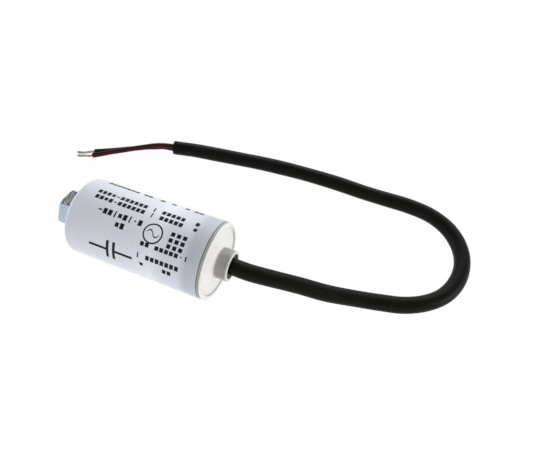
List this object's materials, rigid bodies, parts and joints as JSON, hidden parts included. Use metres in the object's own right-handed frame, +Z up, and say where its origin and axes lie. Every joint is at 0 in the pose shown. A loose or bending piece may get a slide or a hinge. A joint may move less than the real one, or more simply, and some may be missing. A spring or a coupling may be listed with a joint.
{
  "type": "motor run capacitor",
  "caption": "Moulded white cylindrical capacitor lying on its side, with a threaded mounting stud and nut at one end and a black two-core cable from the lid at the other.",
  "frame": {"origin": "on the surface that the can lies on, under the middle of the length from the stud's tip to the collar's mouth", "axes": "+X along the can from the stud to the cable collar, +Z up, the cable loops round on the +Y side"},
  "size_m": [0.1806, 0.0806, 0.03],
  "materials": {
    "can_plastic": "satin moulded white, faintly cool",
    "lid_plastic": "smooth moulded white",
    "bushing_rubber": "black, slightly glossy",
    "plated_steel": "zinc plated",
    "blue_zinc": "zinc plated, blue passivated",
    "pressboard": "plain pressboard",
    "inner_plastic": "natural polypropylene",
    "metallised_film": "metallised film, satin",
    "sprayed_zinc": "rough sprayed zinc",
    "tinned_copper": "tinned strands",
    "solder": "dull solder",
    "resin": "cast resin",
    "sheath_plastic": "black extruded sheath, soft sheen",
    "brown_insulation": "brown extruded insulation",
    "black_insulation": "black extruded insulation"
  },
  "bodies": {
    "root": {"can": "can_plastic", "lid": "lid_plastic", "cable_bushing": "bushing_rubber", "cable_crimp": "plated_steel", "mounting_stud": "plated_steel", "tooth_washer": "plated_steel", "hex_nut": "blue_zinc", "insulating_disc": "pressboard", "core_tube": "inner_plastic", "film_winding": "metallised_film", "film_wrap": "inner_plastic", "sprayed_end_base": "sprayed_zinc", "sprayed_end_lid": "sprayed_zinc", "inner_brown_core": "brown_insulation", "inner_black_core": "black_insulation", "brown_lead_wire": "tinned_copper", "black_lead_wire": "tinned_copper", "brown_solder": "solder", "black_solder": "solder", "potting_resin": "resin", "cable_sheath": "sheath_plastic", "brown_core": "brown_insulation", "black_core": "black_insulation", "brown_strands": "tinned_copper", "black_strands": "tinned_copper"}
  },
  "joints": []
}
